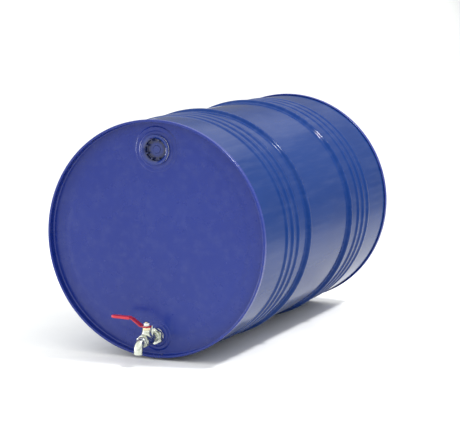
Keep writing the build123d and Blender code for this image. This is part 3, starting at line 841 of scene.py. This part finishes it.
def wrench_rib(turn, shoulder, floor):
    """Rib down the wall of the plug's cup, at this many ribs' turn about its axis."""
    reach = PLUG_THROAT_R - PLUG_RIB_R
    depth = floor - shoulder + 0.5 * MM
    clear_selection()
    middle = (PLUG_RIB_R + reach / 2 + 0.3 * MM, floor - depth / 2, 0)
    bpy.ops.mesh.primitive_cube_add(size=1, location=middle)
    rib = named("rib")
    rib.scale = (reach + 0.6 * MM, depth + 1 * MM, PLUG_RIB_WIDTH)
    settle(rib)
    soften(rib, 0.8 * MM, 3)
    rib.rotation_euler = (0, 2 * pi / PLUG_RIBS * turn, 0)
    rib.location = BUNG_AXIS
    return settle(rib)


def bung_plug():
    """Threaded cup with a wide head, ribs for the bung wrench and a button in its floor."""
    top = plug_low.y
    under = top + PLUG_HEAD
    end = plug_high.y
    floor = end - PLUG_FLOOR
    shoulder = under + 1.0 * MM
    root = LARGE_THREAD_R - THREAD_DEPTH * LARGE_PITCH
    corners = [(0, end), (root, end), (root, under), (PLUG_HEAD_R, under), (PLUG_HEAD_R, top),
               (PLUG_MOUTH_R, top), (PLUG_THROAT_R, shoulder), (PLUG_THROAT_R - 1 * MM, floor),
               (PLUG_BUTTON_R + 1 * MM, floor), (PLUG_BUTTON_R, floor - PLUG_BUTTON),
               (0, floor - PLUG_BUTTON)]
    radii = [0.9 * MM, 0.3 * MM, 0.5 * MM, 1.3 * MM, 1.5 * MM, 1.5 * MM, 1.6 * MM, 0.5 * MM, 0.6 * MM]
    plug = spun("bung_plug", rounded(corners, radii), place=BUNG_AXIS, sides=160)
    ribs = [wrench_rib(turn + 0.5, shoulder, floor) for turn in range(PLUG_RIBS)]
    combine(plug, ribs, "UNION")
    thread = helix("thread", LARGE_THREAD_R, LARGE_PITCH, under + 1.2 * MM, end - 0.6 * MM, BUNG_AXIS)
    combine(plug, [thread], "UNION")
    finish_piece(shade(clean(plug)), "plug_plate", "plug", "large_bung_plug")


# ---- tap body --------------------------------------------------------------------------------
def melt(piece, voxel, rounds):
    """Remeshes a rough union into one skin and smooths its junctions, as in a casting."""
    remesh = piece.modifiers.new("Skin", "REMESH")
    remesh.mode = "VOXEL"
    remesh.voxel_size = voxel
    apply_modifier(piece, remesh)
    smooth = piece.modifiers.new("Smooth", "SMOOTH")
    smooth.factor = 0.5
    smooth.iterations = rounds
    apply_modifier(piece, smooth)
    return piece


def stop_lug():
    """Lug that stops the lever at both ends of its turn."""
    foot = 7.0 * MM
    top = tap_high.z - TAP_Z
    clear_selection()
    bpy.ops.mesh.primitive_cube_add(size=1, location=(LUG_R, 0, (foot + top) / 2))
    lug = named("lug")
    lug.scale = (LUG_DEPTH, LUG_WIDTH, top - foot)
    settle(lug)
    soften(lug, 0.4 * MM, 3)
    lug.rotation_euler = (0, 0, pi / 4)
    lug.location = CHAMBER
    return settle(lug)


def tap_casting():
    """Neck, ball chamber and stem boss, cast in one, before machining."""
    front = TAP_SEAT - COLLAR
    back = STEM_Y + CHAMBER_REAR
    spare = 1.5 * MM
    corners = [(0, front + spare), (NECK_R + 2 * MM, front + spare), (NECK_R + 2 * MM, front - 1 * MM),
               (NECK_R, front - 3 * MM), (NECK_R, back + 2 * MM), (CHAMBER_R, back - 3 * MM),
               (CHAMBER_R, MOUTH_Y - spare), (0, MOUTH_Y - spare)]
    radii = [0.5 * MM, 1 * MM, 2 * MM, 2 * MM, 4 * MM, 0.5 * MM]
    casting = spun("cast_tap", rounded(corners, radii), place=TAP_AXIS)
    cone = [(0, 4 * MM), (CHAMBER_R - 0.6 * MM, 4 * MM), (CHAMBER_R - 0.9 * MM, 11 * MM),
            (BOSS_R + 0.9 * MM, 17 * MM), (BOSS_R + 0.3 * MM, 21 * MM),
            (BOSS_R + 0.3 * MM, BOSS_TOP + spare), (0, BOSS_TOP + spare)]
    boss = spun("boss", cone, axis="Z", place=CHAMBER)
    combine(casting, [boss], "UNION")
    return melt(casting, 0.5 * MM, 10)


def tap_body():
    """The casting, its lug, collar and threaded tail, then every machined face and bore."""
    front = TAP_SEAT - COLLAR
    tail_end = tap_high.y
    bottom = TAP_Z + CHAMBER_BORE_R - 3 * MM
    root = SMALL_THREAD_R - THREAD_DEPTH * SMALL_PITCH
    body = tap_casting()
    mouth_face = plain_bar("mouth_face", 30 * MM, MOUTH_Y - PAST, MOUTH_Y)
    boss_face = plain_bar("boss_face", 20 * MM, BOSS_TOP, BOSS_TOP + PAST, "Z", CHAMBER)
    combine(body, [mouth_face, boss_face], "DIFFERENCE")
    collar = soften(hexagon("collar", COLLAR_FLATS, front, TAP_SEAT, 1.1 * MM), 0.35 * MM, 2)
    end = [(0, front + 1 * MM), (root, front + 1 * MM), (root, tail_end), (0, tail_end)]
    tail = spun("tail", rounded(end, [0.3 * MM, 0.8 * MM]), place=TAP_AXIS)
    thread = helix("thread", SMALL_THREAD_R, SMALL_PITCH, TAP_SEAT + 2.4 * MM, tail_end - 0.5 * MM, TAP_AXIS)
    combine(body, [collar, tail, thread, stop_lug()], "UNION")
    shoulder = STEM_Y + SEAT_REACH
    bore = [(0, MOUTH_Y - PAST), (CHAMBER_BORE_R, MOUTH_Y - PAST), (CHAMBER_BORE_R, shoulder),
            (BORE_R, shoulder), (BORE_R, tail_end + PAST), (0, tail_end + PAST)]
    shaft = [(0, bottom), (COUNTERBORE_R, bottom), (COUNTERBORE_R, TAP_Z + COUNTERBORE_TOP),
             (STEM_R + FIT, TAP_Z + COUNTERBORE_TOP), (STEM_R + FIT, TAP_Z + PACKING_BOTTOM),
             (PACKING_R, TAP_Z + PACKING_BOTTOM), (PACKING_R, TAP_Z + BOSS_TOP + PAST),
             (0, TAP_Z + BOSS_TOP + PAST)]
    cuts = [spun("bore", bore, place=TAP_AXIS), spun("shaft_bore", shaft, axis="Z", place=STEM_AXIS)]
    combine(body, cuts, "DIFFERENCE")
    finish_piece(shade(clean(body), 28), "nickel_plate", "tap", "tap_body")


# ---- spout -----------------------------------------------------------------------------------
def bent_bar(name, radius, start, end):
    """Round bar along the tap's axis that bends down to the mouth; start is a y and end a height."""
    bend = SPOUT_Y + SPOUT_BEND
    pivot_z = TAP_Z - SPOUT_BEND
    clear_selection()
    bpy.ops.mesh.primitive_circle_add(vertices=64, radius=radius, location=(0, start, TAP_Z),
                                      rotation=(pi / 2, 0, 0))
    bar = settle(named(name))
    bpy.ops.object.mode_set(mode="EDIT")
    bpy.ops.mesh.select_all(action="SELECT")
    bpy.ops.mesh.extrude_region_move(TRANSFORM_OT_translate={"value": (0, bend - start, 0)})
    bpy.ops.mesh.spin(steps=20, angle=-pi / 2, center=(0, bend, pivot_z), axis=(1, 0, 0))
    bpy.ops.mesh.extrude_region_move(TRANSFORM_OT_translate={"value": (0, 0, end - pivot_z)})
    bpy.ops.mesh.select_all(action="SELECT")
    bpy.ops.mesh.fill_holes(sides=0)
    bpy.ops.object.mode_set(mode="OBJECT")
    return clean(bar)


def spout():
    """Tube bent down from a shoulder and nut, with a shank that runs into the ball chamber."""
    back = MOUTH_Y - SPOUT_SEAL
    front = back - SPOUT_NUT
    mouth = spout_low.z
    shank_end = STEM_Y - SEAT_REACH
    corner = corner_radius(SPOUT_NUT_FLATS)
    tube = bent_bar("spout", SPOUT_R, front + 2 * MM, mouth)
    soften(tube, 0.7 * MM, 4, 60)
    nut = soften(hexagon("nut", SPOUT_NUT_FLATS, front, back, 1.0 * MM), 0.5 * MM, 3)
    shank = plain_bar("shank", CHAMBER_BORE_R - 0.1 * MM, back - 1 * MM, shank_end)
    swell = [(0, front + 1 * MM), (corner - 2.2 * MM, front + 1 * MM), (corner - 3.0 * MM, front - 2.4 * MM),
             (SPOUT_R - 0.3 * MM, front - 6.5 * MM), (0, front - 6.5 * MM)]
    shoulder = spun("shoulder", rounded(swell, [0.2 * MM, 2.6 * MM, 0.2 * MM]), place=TAP_AXIS)
    combine(tube, [nut, shank, shoulder], "UNION")
    bore = bent_bar("bore", BORE_R, shank_end + 5 * MM, mouth - 5 * MM)
    combine(tube, [bore], "DIFFERENCE")
    finish_piece(shade(clean(tube), 30), "nickel_plate", "tap", "tap_spout")


# ---- stem, nuts and washer -------------------------------------------------------------------
def bore_for_stem(piece, radius, low, high):
    """Bores a nut through, from a little below it to a little above."""
    cutter = plain_bar("cut", radius, low - 5 * MM, high + 5 * MM, "Z", STEM_AXIS)
    return combine(piece, [cutter], "DIFFERENCE")


def gland_nut():
    """Brass nut whose spigot presses on the packing."""
    seat = TAP_Z + BOSS_TOP
    flats = gland_high.y - gland_low.y
    nut = hexagon("gland_nut_piece", flats, seat, gland_high.z, 1.1 * MM, lying=False)
    soften(nut, 0.25 * MM, 2)
    spigot = plain_bar("spigot", PACKING_R - 0.1 * MM, gland_low.z, seat + 1 * MM, "Z", STEM_AXIS)
    combine(nut, [spigot], "UNION")
    bore_for_stem(nut, STEM_R + FIT, gland_low.z, gland_high.z)
    finish_piece(shade(clean(nut)), "brass", "tap", "gland_nut")


def lever_nut():
    """Nut that holds the lever on its stem."""
    flats = nut_high.y - nut_low.y
    nut = hexagon("stem_nut", flats, nut_low.z, nut_high.z, 0.9 * MM, lying=False)
    soften(nut, 0.2 * MM, 2)
    bore_for_stem(nut, STEM_THREAD_R + FIT, nut_low.z, nut_high.z)
    finish_piece(shade(clean(nut)), "bright_steel", "lever", "lever_nut")


def lever_washer():
    """Plain washer under the nut, with its punched edges broken."""
    inner = STEM_THREAD_R + 0.2 * MM
    outer = (washer_high.x - washer_low.x) / 2
    edge = 0.25 * MM
    low, high = washer_low.z, washer_high.z
    outline = [(inner, low), (outer - edge, low), (outer, low + edge), (outer, high - edge),
               (outer - edge, high), (inner + edge, high), (inner, high - edge)]
    washer = spun("stem_washer", outline, axis="Z", place=STEM_AXIS, loop=True)
    finish_piece(shade(washer), "bright_steel", "lever", "lever_washer")


# ---- lever and grip --------------------------------------------------------------------------
def arc(radius, begin, end, steps, middle=0.0):
    """Points of an arc in plan, about the stem or a middle away from it along X."""
    turns = [begin + (end - begin) * step / steps for step in range(steps + 1)]
    return [(middle + radius * cos(turn), radius * sin(turn)) for turn in turns]


def upright(name, plan, bottom, height):
    """Slab with this plan about the stem."""
    return slab(name, [Vector((x, y + STEM_Y, bottom)) for x, y in plan], Vector((0, 0, height)))


def cranked(name, thickness, width, tip, end_width):
    """Cranked strip from the hub to its tip along -X, cut to a round hub and a handle that narrows."""
    low = lever_low.z + LEVER_SHEET / 2
    high = low + LEVER_RISE
    start = LEVER_HUB_R + 3 * MM
    foot, head = LEVER_CRANK
    corners = [(start, low), (-foot, low), (-head, high), (-tip - 5 * MM, high + LEVER_TIP_RISE)]
    outline = sheet_outline(filleted(corners, [LEVER_BEND, LEVER_BEND], 10), thickness)
    wide = 2.4 * LEVER_HUB_R
    strip = slab(name, [Vector((x, STEM_Y - wide / 2, z)) for x, z in outline], Vector((0, wide, 0)))
    tip_r = end_width / 2
    lean = atan2(width / 2 - tip_r, tip - 3 * LEVER_HUB_R)
    end = arc(tip_r, 1.5 * pi - lean, 0.5 * pi + lean, 16, tip_r - tip)
    meet = (LEVER_HUB_R ** 2 - (width / 2) ** 2) ** 0.5
    begin = atan2(width / 2, -meet)
    hub = arc(LEVER_HUB_R, begin, -begin, 48)
    mould = upright("plan", hub + end, low - 12 * MM, 60 * MM)
    return combine(strip, [mould], "INTERSECT")


def hub_notch():
    """Room in the hub for the stop lug over the lever's whole turn."""
    lug_half = degrees(atan2(LUG_WIDTH / 2, LUG_R - LUG_DEPTH / 2))
    half = radians(LEVER_TURN / 2 + lug_half + LUG_ROOM)
    near = arc(NOTCH_R, half, -half, 16)
    far = arc(2 * LEVER_HUB_R, -half, half, 16)
    return upright("notch", near + far, lever_low.z - 5 * MM, 12 * MM)


def square_hole():
    """Cutter for the hole that sits on the stem's square end."""
    clear_selection()
    bpy.ops.mesh.primitive_cube_add(size=STEM_SQUARE, location=(0, STEM_Y, lever_low.z + LEVER_SHEET / 2))
    return settle(named("square"))


def lever_strip():
    """Cranked steel lever with a round hub."""
    lever = cranked("lever_strip", LEVER_SHEET, LEVER_WIDTH, LEVER_LENGTH, LEVER_END)
    combine(lever, [hub_notch()], "DIFFERENCE")
    soften(lever, 0.6 * MM, 3, 40)
    combine(lever, [square_hole()], "DIFFERENCE")
    return lever


def lever_and_grip():
    """Lever, and the vinyl sleeve that its handle was dipped in."""
    lever = lever_strip()
    walls = 2 * GRIP_WALL
    grip = cranked("grip_sleeve", LEVER_SHEET + walls, LEVER_WIDTH + walls, -grip_low.x, LEVER_END + walls)
    reach = 100 * MM
    clear_selection()
    bpy.ops.mesh.primitive_cube_add(size=reach, location=(-GRIP_START - reach / 2, STEM_Y, lever_low.z))
    combine(grip, [settle(named("keep"))], "INTERSECT")
    soften(grip, 2.4 * MM, 5, 50)
    hollow = copy_of(lever, "hollow")
    combine(grip, [hollow], "DIFFERENCE")
    finish_piece(shade(clean(lever)), "red_lever", "lever", "tap_lever")
    finish_piece(shade(clean(grip)), "red_grip", "lever", "lever_grip")


# ---- make everything -------------------------------------------------------------------------
add_camera()
add_studio()
finish_frame_nodes()
drum_body()
front_head()
rear_head()
bung_plug()
tap_body()
spout()
gland_nut()
lever_nut()
lever_washer()
lever_and_grip()
